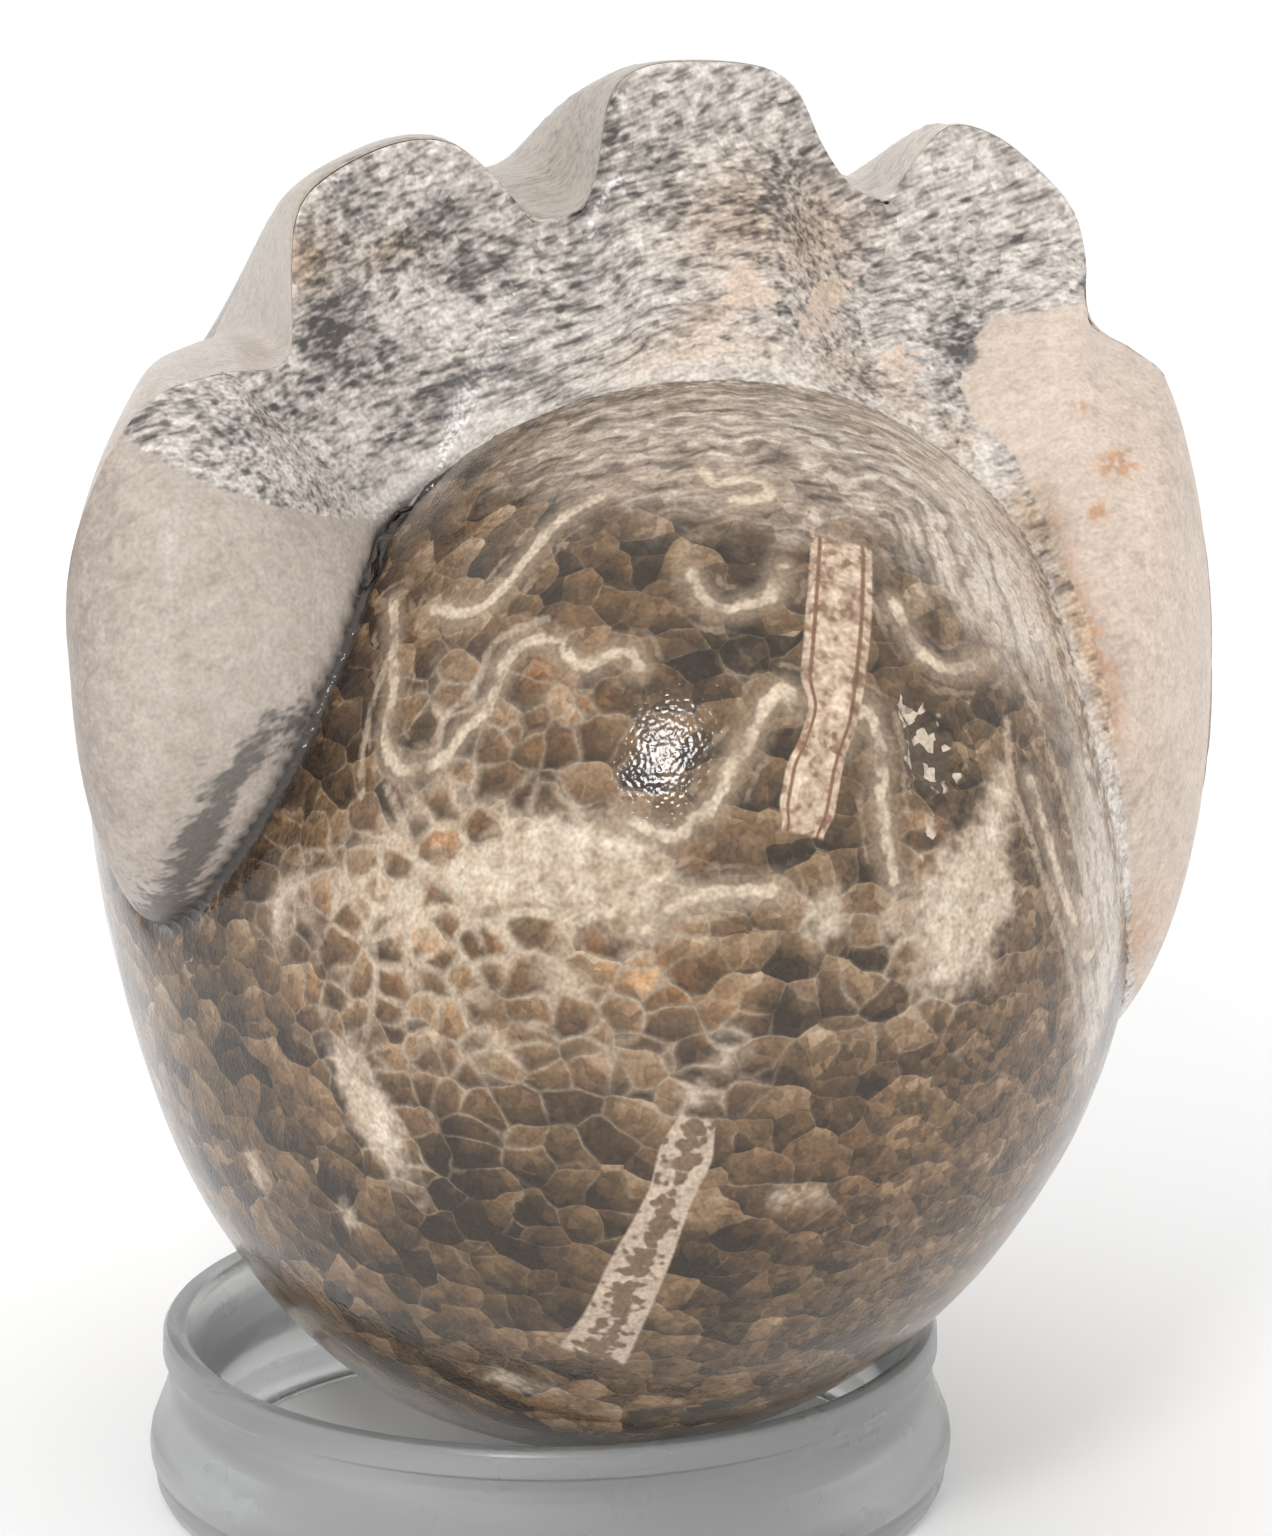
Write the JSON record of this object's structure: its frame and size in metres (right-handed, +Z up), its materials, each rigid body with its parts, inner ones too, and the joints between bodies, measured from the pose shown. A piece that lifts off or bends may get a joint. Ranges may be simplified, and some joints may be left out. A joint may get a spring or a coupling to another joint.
{
  "type": "vascoceras ammonite fossil on a ring stand",
  "caption": "Rounded, polished ammonite fossil with a lobed broken end and matrix-filled sides, sitting in a low clear plastic ring stand.",
  "frame": {"origin": "centre of the bounding box on the surface the ring stands on", "axes": "+Z up; the lobed broken end of the fossil looks towards -Y; +X is to the right in that view"},
  "size_m": [0.09, 0.1033, 0.1157],
  "materials": {
    "stone": "polished calcite and limestone: mottled cream, grey and brown, with a wax-like gloss",
    "clear_plastic": "clear moulded plastic, slightly grey, faintly hazed"
  },
  "bodies": {
    "root": {"ammonite": "stone", "display_ring": "clear_plastic"}
  },
  "joints": []
}
